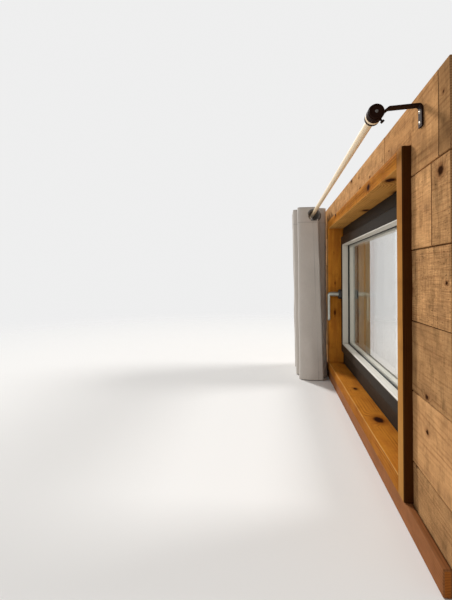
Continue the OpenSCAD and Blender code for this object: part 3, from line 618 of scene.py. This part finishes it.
def timberBar(name, seed, low, high, axis, material, end, replaced=(), slot=None,
              stain=(), worn=(), rubbed=0.0, lap=0.0009):
    # A rectangle with a quarter circle at each corner, carried along one axis. Near its ends each
    # section shrinks towards its middle along the same quarter circle. The section turns
    # anticlockwise seen against the axis. The first list of faces is painted darker, as shade, and
    # the second paler, partly as wear and partly as light: across which axis, on which side, and how
    # strongly at the bar's two ends. lap is how far round the arrises they reach. The long arrises
    # are painted paler by one more share, partly as wear and partly as a painted highlight.
    rng = np.random.default_rng(seed)
    low, high = np.array(low, float), np.array(high, float)
    a, b = [(1, 2), (2, 0), (0, 1)][axis]
    size, soft = high - low, timber["soft"]
    bend = np.radians([0, 22.5, 45, 67.5, 90])
    corners = []
    for quarter, (sa, sb) in enumerate([(1, 1), (0, 1), (0, 0), (1, 0)]):
        turn = bend + quarter * math.pi / 2
        ca = low[a] + soft + sa * (size[a] - 2 * soft)
        cb = low[b] + soft + sb * (size[b] - 2 * soft)
        corners.append(np.stack([ca + soft * np.cos(turn), cb + soft * np.sin(turn)], axis=-1))
    section = np.concatenate(corners)
    middle = (low + high)[[a, b]] / 2
    inset = soft * (1 - np.sin(bend))
    count = max(3, int(size[axis] / timber["step"]))
    stations = np.concatenate([low[axis] + soft * (1 - np.cos(bend[:-1])),
                               np.linspace(low[axis] + soft, high[axis] - soft, count),
                               high[axis] - soft * (1 - np.cos(bend[-2::-1]))])
    draw = np.concatenate([inset[:-1], np.zeros(count), inset[-2::-1]])
    away = section - middle
    reach = np.abs(away).max(axis=0)
    shrink = 1 - draw[:, None, None] / reach
    ring = middle + away * shrink
    points = np.zeros((len(stations), len(section), 3))
    points[..., axis] = stations[:, None]
    points[..., a] = ring[..., 0]
    points[..., b] = ring[..., 1]
    around = np.concatenate([[0], np.cumsum(np.hypot(*np.diff(section, axis=0).T))])
    grain = np.stack([np.broadcast_to(stations[:, None], ring.shape[:2]) + rng.uniform(0, logLength),
                      np.broadcast_to(around, ring.shape[:2]) + rng.uniform(0, logWidth),
                      np.full(ring.shape[:2], rng.uniform(0.2, 0.8))], axis=-1)
    faces = gridFaces(len(stations), len(section)) + capFaces(len(stations), len(section))
    caps = points[[0, -1]].reshape(-1, 3)
    capGrain = np.stack([caps[:, a] - middle[0], caps[:, b] - middle[1],
                         np.full(len(caps), 0.5)], axis=-1)
    points = np.concatenate([points.reshape(-1, 3), caps])
    attributes = {"grain": np.concatenate([grain.reshape(-1, 3), capGrain])}
    along = (points[:, axis] - low[axis]) / size[axis]
    for key, marks in (("stain", stain), ("worn", worn)):
        attributes[key] = np.zeros(len(points))
        for across, side, first, last in marks:
            off = np.abs(points[:, across] - (low, high)[side][across])
            near = np.clip((lap - off) / timber["fade"], 0, 1)
            attributes[key] = np.maximum(attributes[key], near * (first + (last - first) * along))
    arris = np.tile(rubbed * np.sin(2 * bend), 4 * len(stations))
    attributes["worn"][:len(arris)] = np.maximum(attributes["worn"][:len(arris)], arris)
    piece = makePiece(name, points, faces, material, replaced, attributes,
                      (end, [len(faces) - 2, len(faces) - 1]))
    sharpen(piece, 50)


def nodeBar(name, seed, node, axis, wood, slot, **more):
    # a timber in the place of its CAD node
    end = materials["framingEnd" if wood == "framing" else "surroundEnd"]
    timberBar(name, seed, *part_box(node), axis, materials[wood], end, (node,), slot, **more)


# The jambs' outer faces are painted near black, as shade. The other faces have a golden stain.
# The head's underside is painted paler, as light that falls on it from below, the near jamb's
# front is paler low down, and the fronts of the sill and the near jamb are painted darker, as
# shade. The long arrises are painted paler, partly as wear and partly as a highlight.
nodeBar("surroundHead", 82, "surround_head", 0, "surround", "surround_timber",
        worn=((2, 0, 0.85, 0.75),), rubbed=0.8)
nodeBar("surroundSill", 71, "surround_sill", 0, "surround", "surround_timber",
        stain=((1, 0, 0.30, 0.30),), rubbed=0.9)
nodeBar("surroundJambFar", 63, "surround_jamb_far", 2, "surround", "surround_timber",
        stain=((0, 0, 0.92, 0.92),), rubbed=0.25)
nodeBar("surroundJambNear", 91, "surround_jamb_near", 2, "surround", "surround_timber",
        stain=((0, 1, 0.92, 0.92), (1, 0, 0.20, 0.25)), worn=((1, 0, 0.7, 0.35),), rubbed=0.4,
        lap=0.0024)
nodeBar("skirtingStrip", 25, "skirting", 0, "skirting", "skirting_timber")
for seed, (name, node, axis) in enumerate((
        ("solePlate", "sole_plate", 0), ("topPlate", "top_plate", 0),
        ("lintelPlank", "window_lintel", 0), ("farEndStud", "far_end_stud", 2),
        ("farJambStud", "far_jamb_stud", 2), ("nearJambStud", "near_jamb_stud", 2),
        ("nearEndStud", "near_end_stud", 2))):
    nodeBar(name, 40 + seed, node, axis, "framing", "framing_timber")
nodeBar("revealHead", 50, "reveal_head", 0, "framing", "cladding_boards")
revealLow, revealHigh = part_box("reveal_jambs")
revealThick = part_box("reveal_head")[0].x - revealLow.x
for name, seed, x0 in (("revealJambFar", 51, revealLow.x),
                       ("revealJambNear", 52, revealHigh.x - revealThick)):
    timberBar(name, seed, (x0, revealLow.y, revealLow.z),
              (x0 + revealThick, revealHigh.y, revealHigh.z), 2, materials["framing"],
              materials["framingEnd"], ("reveal_jambs",), "cladding_boards")
print("surround, skirting, frame timbers and reveals made")


# Eyelet curtain pushed together. Seen from above the cloth is a meander: its heading swings
# between the wall and the room as a flattened cosine of the fold number, so that the panels run
# straight and the turns are round. Lower down the folds spread, soften and wander. bendTop and
# bendHem say how flattened the cosine is. Each crease is a sine: its height, and its turns across
# and down the cloth in radians for each metre.
curtain = {"panels": 8, "bendTop": 3.2, "bendHem": 1.7, "thick": 0.0011, "hemThick": 0.0024,
           "room": 0.0015, "endShare": 0.86, "flare": 0.048, "belly": 0.012, "drop": 0.005,
           "rearDraw": 0.004, "tuck": 0.25, "gather": 0.014, "lead": 0.016, "shallow": 0.10,
           "freeEdge": 0.038, "bottomHem": 0.034, "sideHem": 0.024, "heading": 0.075,
           "seamWidth": 0.006, "freeFrom": 0.10, "freeOver": 0.5, "frontReach": 0.45,
           "wander": 0.0035, "wanderTurns": 4.2, "pucker": 0.0006, "puckerTurns": 130, "puckerReach": 0.12,
           "creases": ((0.0009, 21, 16), (0.0007, -34, 23), (0.0005, 58, 9), (0.0004, 90, -31)),
           "columns": 300, "rows": 112, "ringHole": 0.022, "ringHeight": 0.0026, "ringSteps": (48, 14)}


def curtainPoints(low, high, rodY):
    # Points in rows from the top down, with the cloth's own widths and heights. number counts the
    # panels along the cloth and down is the share of the way to the hem. The heading is a right
    # angle times tanh(bend cos(pi number)), held to one by its own greatest value. Its cosine
    # summed along the cloth is the place along the wall, and its sine the place out from it; both
    # are then fitted to the curtain's length, plus a flare towards the hem, and to its depth, less
    # a gather. After that some folds are shallower, the front one but one is tucked in, the rear
    # ones lean to the wall, the leading edge leans the same way, free cloth wanders along the wall
    # and the front panel bellies. Creases and the heading's puckers move it along its normal.
    rng = np.random.default_rng(31)
    panels = curtain["panels"]
    down = np.linspace(0, 1, curtain["rows"])[:, None]
    room = curtain["room"]
    deep = (high.y - low.y - 2 * room) - curtain["gather"] * down
    middle = high.y - room - deep / 2
    edge = (rodY + curtain["freeEdge"] - middle[0]) / (deep[0] / 2)
    reach = 0.5 - np.arccos(np.clip(edge, -1, 1)) / math.pi
    loose = reach[0] * curtain["endShare"]
    number = np.linspace(-loose, panels - 1 + loose, curtain["columns"])[None, :]
    bend = curtain["bendTop"] + (curtain["bendHem"] - curtain["bendTop"]) * down ** 0.8
    heading = -math.pi / 2 * np.tanh(bend * np.cos(math.pi * number)) / np.tanh(bend)
    step = number[0, 1] - number[0, 0]

    def summed(slope):                        # a running sum by trapeziums, from nought
        total = np.cumsum((slope[:, 1:] + slope[:, :-1]) / 2 * step, axis=1)
        return np.concatenate([np.zeros_like(total[:, :1]), total], axis=1)

    across, out = summed(np.cos(heading)), summed(np.sin(heading))

    def at(values, where):                    # each row's value at one number of panels
        return np.array([np.interp(where, number[0], row) for row in values])[:, None]

    firstX, lastX = low.x + room, high.x - room
    span = (lastX - firstX) + curtain["flare"] * down ** 1.2
    across = firstX + (across - at(across, 0)) / (at(across, panels - 1) - at(across, 0)) * span
    out = out - (out.max(axis=1, keepdims=True) + out.min(axis=1, keepdims=True)) / 2
    out = out / (out.max(axis=1, keepdims=True) - out.min(axis=1, keepdims=True)) * deep

    turns = np.arange(-1, panels + 1)
    shallow = np.interp(number, turns + 0.5, rng.uniform(0.0, curtain["shallow"], len(turns)))
    phase = np.interp(number, turns, rng.uniform(0, 6.0, len(turns)))
    tucked = np.cos(math.pi / 2 * np.clip(number - (panels - 1.5), -1, 1)) ** 2
    out = middle + out * (1 - shallow * down - curtain["tuck"] * (1 - 0.4 * down) * tucked)
    behind = np.clip((panels - 1 - number) / (panels - 1), 0, 1)
    out = out + curtain["rearDraw"] * behind * (high.y - out) / (high.y - low.y)
    leading = np.clip((number - (panels - 1)) / (number[0, -1] - (panels - 1)), 0, 1)
    out = out + curtain["lead"] * down * leading
    free = np.clip((down - curtain["freeFrom"]) / curtain["freeOver"], 0, 1)
    across = across + free * curtain["wander"] * np.sin(curtain["wanderTurns"] * down + phase)
    front = np.clip(1 - np.abs(number - (panels - 1)) / curtain["frontReach"], 0, 1)
    across = across + curtain["belly"] * down * np.sin(front * math.pi / 2) ** 2

    width = np.cumsum(np.hypot(np.gradient(across, axis=1), np.gradient(out, axis=1)), axis=1)
    width = width / width[:, -1:] * width[:, -1].mean()
    height = (high.z - low.z + curtain["drop"]) * down
    creases = sum(tall * np.sin(width * turnsAcross + height * turnsDown + start)
                  for (tall, turnsAcross, turnsDown), start in zip(curtain["creases"], rng.uniform(0, 6, 4)))
    puckers = curtain["pucker"] * np.sin(width * curtain["puckerTurns"])
    slack = free * creases + np.clip(1 - down / curtain["puckerReach"], 0, 1) * puckers
    across, out = across - np.sin(heading) * slack, out + np.cos(heading) * slack
    rise = np.broadcast_to(high.z - height, across.shape)
    return np.stack([across, out, rise], axis=-1), width, np.broadcast_to(height, width.shape)


def makeCurtain():
    # The cloth's faces leave out the quads inside the eyelets. Its thickness is a modifier's, more
    # at the hems, where a vertex group is 1.
    low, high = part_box("curtain")
    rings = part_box("eyelets")
    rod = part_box("curtain_rod")
    rodY = (rod[0].y + rod[1].y) / 2
    eyeZ, eyeRadius = (rings[0].z + rings[1].z) / 2, (rings[1].z - rings[0].z) / 2
    points, width, height = curtainPoints(low, high, rodY)
    rows, columns = width.shape
    around = np.hypot(points[..., 1] - rodY, points[..., 2] - eyeZ)
    cell = (around[1:, 1:] + around[1:, :-1] + around[:-1, 1:] + around[:-1, :-1]) / 4
    quads = np.array(gridFaces(rows, columns, closed=False)).reshape(rows - 1, columns - 1, 4)
    middle, half = (curtain["ringHole"] + eyeRadius) / 2, (eyeRadius - curtain["ringHole"]) / 2
    kept = quads[cell > middle - 0.001]       # the cloth ends under the middle of the metal
    flatWidth, flatHeight = float(width[:, -1].mean()), float(height[-1, 0])
    seamX = np.minimum(np.abs(width - curtain["sideHem"]),
                       np.abs(flatWidth - width - curtain["sideHem"]))
    seamZ = np.minimum(np.abs(flatHeight - height - curtain["bottomHem"]),
                       np.abs(height - curtain["heading"]))
    seam = np.clip(1 - np.minimum(seamX, seamZ) / curtain["seamWidth"], 0, 1).ravel()
    piece = makePiece("curtainCloth", points, kept.tolist(), materials["curtain"], ("curtain",),
                      {"seam": seam})
    layer = piece.data.uv_layers.new(name="cloth")
    corners = np.zeros(len(piece.data.loops), int)
    piece.data.loops.foreach_get("vertex_index", corners)
    flat = np.stack([width.ravel(), -height.ravel()], axis=-1)[corners]
    layer.data.foreach_set("uv", flat.ravel())
    doubled = (np.minimum(width, flatWidth - width) < curtain["sideHem"]) | (
        flatHeight - height < curtain["bottomHem"]) | (height < curtain["heading"])
    group = piece.vertex_groups.new(name="hems")
    group.add(np.flatnonzero(doubled).tolist(), 1.0, "REPLACE")
    group.add(np.flatnonzero(~doubled).tolist(), curtain["thick"] / curtain["hemThick"], "REPLACE")
    shell = piece.modifiers.new("clothThickness", "SOLIDIFY")
    shell.thickness = curtain["hemThick"]
    shell.offset = 0
    shell.vertex_group = "hems"

    # One rolled metal ring for each panel: a circle carried round a circle, its section squeezed
    # to a flat dome on both sides of the cloth
    turns, bends = curtain["ringSteps"]
    turn = np.linspace(0, 2 * math.pi, turns + 1)[:-1]
    bend = np.linspace(0, 2 * math.pi, bends + 1)[:-1]
    radius = middle + half * np.cos(bend)
    lift = curtain["ringHeight"] * np.sign(np.sin(bend)) * np.abs(np.sin(bend)) ** 0.7
    ring = np.stack([np.broadcast_to(lift, (turns, bends)), np.outer(np.cos(turn), radius) + rodY,
                     np.outer(np.sin(turn), radius) + eyeZ], axis=-1)
    centres = np.linspace(low.x + curtain["room"], high.x - curtain["room"], curtain["panels"])
    allRings = np.concatenate([ring + [x, 0, 0] for x in centres])
    base = np.array(gridFaces(turns + 1, bends)) % (turns * bends)
    faces = np.concatenate([base + i * turns * bends for i in range(curtain["panels"])])
    makePiece("curtainEyelets", allRings, faces.tolist(), materials["eyelet"], ("eyelets",))
    print("curtain made, flat width", round(flatWidth, 3))


makeCurtain()


# The window's lever, swept along an L: out from its base, round a bend, and down to a round tip
leverShape = {"bend": 0.008, "thick": 0.012, "tipRound": 0.009, "waist": 0.84, "neck": 0.92,
              "flattenFrom": 0.85, "square": 0.35, "steps": (8, 17, 64), "sides": 32}


def makeLever():
    # A superellipse carried along the path: its points are the cosine and the sine of the angle,
    # each raised to a power that falls from 1 at the round neck, times the half widths. The half
    # widths dip in the middle of the drop by a squared sine and close at the tip in a quarter
    # circle.
    low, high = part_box("handle_lever")
    thick, bend, neck = leverShape["thick"], leverShape["bend"], leverShape["neck"]
    outSteps, bendSteps, dropSteps = leverShape["steps"]
    sides = leverShape["sides"]
    wide = high.x - low.x
    neckZ = high.z - wide / 2
    outY = low.y + thick / 2
    straight = high.y - (outY + bend)
    arc = bend * math.pi / 2
    drop = neckZ - bend - low.z
    total = straight + arc + drop
    length = np.concatenate([np.linspace(0, straight, outSteps)[:-1],
                             straight + np.linspace(0, arc, bendSteps)[:-1],
                             straight + arc + np.linspace(0, drop, dropSteps)])
    turn = np.clip((length - straight) / arc, 0, 1) * math.pi / 2
    y = high.y - np.minimum(length, straight) - bend * np.sin(turn)
    z = neckZ - bend * (1 - np.cos(turn)) - np.clip(length - straight - arc, 0, None)
    # half width across X and half thickness across the path: round at the neck, flat lower down
    start = straight * leverShape["flattenFrom"]
    flat = np.clip((length - start) / (arc + straight - start), 0, 1)
    flat = flat * flat * (3 - 2 * flat)
    along = np.clip((length - straight - arc) / drop, 0, 1)
    waist = 1 - (1 - leverShape["waist"]) * np.sin(along * math.pi) ** 2
    halfX = wide / 2 * (neck + (1 - neck) * flat) * waist
    halfN = (wide / 2 * neck) * (1 - flat) + thick / 2 * flat
    tip = np.clip((length - total + leverShape["tipRound"]) / leverShape["tipRound"], 0, 1)
    close = np.sqrt(np.clip(1 - tip ** 2, 0.0004, 1))
    angle = np.linspace(0, 2 * math.pi, sides + 1)[:-1]
    power = (1 - leverShape["square"] * flat)[:, None]
    roundX = np.sign(np.cos(angle)) * np.abs(np.cos(angle)) ** power * (halfX * close)[:, None]
    roundN = np.sign(np.sin(angle)) * np.abs(np.sin(angle)) ** power * (halfN * close)[:, None]
    points = np.stack([np.broadcast_to((low.x + high.x) / 2, roundX.shape) + roundX,
                       y[:, None] + roundN * np.sin(turn)[:, None],
                       z[:, None] - roundN * np.cos(turn)[:, None]], axis=-1)
    faces = gridFaces(len(length), sides)
    last = (len(length) - 1) * sides
    faces += [list(range(sides))[::-1], list(range(last, last + sides))]
    piece = makePiece("handleLever", points, faces, materials["lever"], ("handle_lever",))
    sharpen(piece, 60)


# Pan-head screws with a cross recess, and plain bosses. slot, reach and the eases are shares of the
# head's radius, and seat is how far its rim goes into what it is on.
screwHead = {"rings": 15, "around": 48, "slot": 0.13, "slotEase": 0.05, "reach": 0.62,
             "reachEase": 0.06, "recess": 0.55, "seat": 0.0004}


def makeScrews(name, seats, across, up, radius, height, material, recessed=True):
    # seats are the middles of the heads; across and up are the directions of the face they are on.
    # A dome: its height is the root of one less the radius's share raised to 2.6, less the recess
    # wherever the place is near either line of the cross.
    across, up = np.array(across, float), np.array(up, float)
    outward = np.cross(across, up)
    share = np.concatenate([[1.0, 1.0], np.linspace(0.985, 0.03, screwHead["rings"] - 2)])[:, None]
    angle = np.linspace(0, 2 * math.pi, screwHead["around"] + 1)[:-1][None, :]
    lift = height * np.sqrt(np.clip(1 - share ** 2.6, 0, 1)) * np.ones_like(angle)
    lift[0] = -screwHead["seat"]
    nearSlot = np.minimum(np.abs(share * np.sin(angle)), np.abs(share * np.cos(angle)))
    cut = np.clip((screwHead["slot"] - nearSlot) / screwHead["slotEase"], 0, 1)
    cut = cut * np.clip((screwHead["reach"] - share) / screwHead["reachEase"], 0, 1)
    lift = lift - recessed * screwHead["recess"] * height * cut
    head = ((share * np.cos(angle))[..., None] * across * radius
            + (share * np.sin(angle))[..., None] * up * radius + lift[..., None] * outward)
    rings, around = share.shape[0], screwHead["around"]
    base = gridFaces(rings, around) + [list(range((rings - 1) * around, rings * around))]
    points = np.concatenate([head.reshape(-1, 3) + seat for seat in seats])
    faces = [[i + k * rings * around for i in f] for k in range(len(seats)) for f in base]
    piece = makePiece(name, points, faces, material)
    sharpen(piece, 40)


# Heads as (radius, height), the screws' heights up the plate, how thick the plate is, and how deep
# the caps are dished
fixings = {"screw": (0.0034, 0.0018), "rises": (0.008, 0.028), "plate": 0.003,
           "boss": (0.0036, 0.0014), "dish": 0.0015}


def makeFixings():
    # two screws in each wall plate, and a boss in the middle of each end cap
    wallWays, farWays, nearWays = ((1, 0, 0), (0, 0, 1)), ((0, 0, 1), (0, 1, 0)), ((0, 1, 0), (0, 0, 1))
    for side, end, inward, ways in (("near", 1, -1, nearWays), ("far", 0, 1, farWays)):
        plate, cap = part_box(side + "_bracket"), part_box(side + "_cap")
        middleX = (plate[0].x + plate[1].x) / 2
        seats = [(middleX, roomFace - fixings["plate"], plate[0].z + rise) for rise in fixings["rises"]]
        makeScrews(side + "PlateScrews", seats, *wallWays, *fixings["screw"], materials["screw"])
        # each boss is a lighter metal than its cap, partly as a painted glint in the cap's middle
        seat = (cap[end].x + inward * fixings["dish"], (cap[0].y + cap[1].y) / 2,
                (cap[0].z + cap[1].z) / 2)
        makeScrews(side + "CapBoss", [seat], *ways, *fixings["boss"], materials["eyelet"],
                   recessed=False)


makeLever()
makeFixings()
print("lever and fixings made")


merging = {"distance": 1e-6, "flat": math.radians(1), "corner": math.radians(40)}


def finish(node, material, soft):
    # a CAD node as it is with a better material, or a copy of it with its edges rounded by soft
    shape = nodes[node]
    if not soft:
        shape.data.materials.clear()
        shape.data.materials.append(material)
        return
    mesh = shape.data.copy()
    build = bmesh.new()
    build.from_mesh(mesh)
    bmesh.ops.remove_doubles(build, verts=build.verts, dist=merging["distance"])
    bmesh.ops.dissolve_limit(build, angle_limit=merging["flat"], verts=build.verts, edges=build.edges)
    build.to_mesh(mesh)
    build.free()
    mesh.materials.clear()
    mesh.materials.append(material)
    piece = bpy.data.objects.new(node + ".finished", mesh)
    bpy.context.scene.collection.objects.link(piece)
    rounding = piece.modifiers.new("rounding", "BEVEL")
    rounding.width = soft
    rounding.segments = 3 if soft > 0.001 else 2
    rounding.limit_method = "ANGLE"
    rounding.angle_limit = merging["corner"]
    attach(piece, "root")
    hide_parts(node)
    sharpen(piece, 40)


# material, rounding and the nodes that have them
for key, soft, names in (
        ("sheathing", 0.0, ("sheathing",)), ("battens", 0.0, ("battens",)),
        ("frame", 0.0006, ("frame_head", "frame_sill", "frame_jamb_far", "frame_jamb_near",
                           "sash_head", "sash_sill", "sash_stile_far", "sash_stile_near")),
        ("bead", 0.0005, ("glazing_beads",)), ("gasket", 0.0, ("gaskets",)),
        ("spacer", 0.0, ("spacer",)), ("glass", 0.0, ("inner_pane", "outer_pane")),
        ("leverBase", 0.002, ("handle_base",)), ("flashing", 0.0, ("sill_flashing",)),
        ("rod", 0.0, ("curtain_rod",)), ("bronze", 0.0006, ("rod_collars",)),
        ("bronze", 0.0004, ("near_bracket", "far_bracket")),
        ("bronze", 0.0, ("near_cap", "far_cap"))):
    for node in names:
        finish(node, materials[key], soft)
print("carried-over parts finished")


# Studio: a pale floor that fades out between two distances, a pale surround, and soft lamps that
# light the wall plainly. Each lamp has the place it shines from, its strength and its angle.
studio = {"floor": "#efedea", "reach": 9, "fade": (1.2, 4.2), "backdrop": 0.86, "world": 0.31,
          "lamps": {"roomLamp": ((-2.8, -1.8, 1.7), 3.05, 9),
                    "cameraLamp": ((2.2, -3.2, 1.6), 0.55, 40),
                    "outsideLamp": ((-0.8, 3.0, 2.2), 1.6, 20)}}


def makeStudio():
    # the surround has one strength where it is seen, straight or by a mirror or through glass,
    # and another where it lights
    mesh = bpy.data.meshes.new("studioFloor")
    far = studio["reach"]
    mesh.from_pydata([(-far, -far, 0), (far, -far, 0), (far, far, 0), (-far, far, 0)], [], [(0, 1, 2, 3)])
    floor = bpy.data.objects.new("studioFloor", mesh)
    bpy.context.scene.collection.objects.link(floor)
    material, tree = newMaterial("paleFloor")
    away = addNode(tree, "VectorMath", {
        "operation": "LENGTH", 0: addNode(tree, "TexCoord", {}, "Object")}, "Value")
    faded = addNode(tree, "MapRange", {"interpolation_type": "SMOOTHSTEP", 0: away, 1: studio["fade"][0],
                                       2: studio["fade"][1], 3: 1.0, 4: 0.0})
    addNode(tree, "OutputMaterial", {"Surface": addNode(tree, "BsdfPrincipled", {
        "Base Color": studio["floor"], "Roughness": 0.9, "Specular IOR Level": 0.0, "Alpha": faded})})
    mesh.materials.append(material)
    world = bpy.data.worlds.new("paleRoom")
    bpy.context.scene.world = world
    world.use_nodes = True
    tree = world.node_tree
    tree.nodes.clear()
    seen = addNode(tree, "LightPath", {}, "Is Camera Ray")
    rays = seen.node.outputs
    for ray in ("Is Glossy Ray", "Is Transmission Ray"):
        seen = addNode(tree, "Math", {"operation": "MAXIMUM", 0: seen, 1: rays[ray]})
    strength = addNode(tree, "MapRange", {0: seen, 3: studio["world"], 4: studio["backdrop"]})
    light = addNode(tree, "Background", {"Color": (1, 1, 1, 1), "Strength": strength})
    addNode(tree, "OutputWorld", {"Surface": light})
    for name, (place, strength, spread) in studio["lamps"].items():
        lamp = bpy.data.lights.new(name, "SUN")
        lamp.energy = strength
        lamp.angle = math.radians(spread)
        holder = bpy.data.objects.new(name, lamp)
        bpy.context.scene.collection.objects.link(holder)
        holder.location = place
        flat = math.hypot(place[0], place[1])
        holder.rotation_euler = (math.atan2(flat, place[2]), 0,
                                 math.atan2(place[1], place[0]) + math.pi / 2)


# The photograph's view: along the wall towards its far end, turned a little away from it. focal,
# horizon and imageHeight are in pixels of a 452 by 600 picture, and turn and tilt in degrees.
viewpoint = {"along": 1.505, "fromLining": 0.27, "height": 0.50, "turn": 7.05, "tilt": 0.75,
             "focal": 400, "horizon": 275, "imageHeight": 600}


def makeCamera():
    # the lens is shifted so that the level view's horizon lies on its own row of the picture
    camera = bpy.data.cameras.new("photoView")
    camera.sensor_width = 36
    camera.lens = camera.sensor_width * viewpoint["focal"] / viewpoint["imageHeight"]
    tilt = math.radians(viewpoint["tilt"])
    below = viewpoint["imageHeight"] / 2 - viewpoint["horizon"] + viewpoint["focal"] * math.tan(tilt)
    camera.shift_y = -below / viewpoint["imageHeight"]
    camera.clip_start = 0.01
    holder = bpy.data.objects.new("photoView", camera)
    bpy.context.scene.collection.objects.link(holder)
    holder.location = (viewpoint["along"], roomFace - viewpoint["fromLining"], viewpoint["height"])
    holder.rotation_euler = (math.radians(90) + tilt, 0, math.radians(90 + viewpoint["turn"]))
    bpy.context.scene.camera = holder


makeStudio()
makeCamera()
bpy.context.scene.view_settings.view_transform = "Standard"
print("studio and camera made")
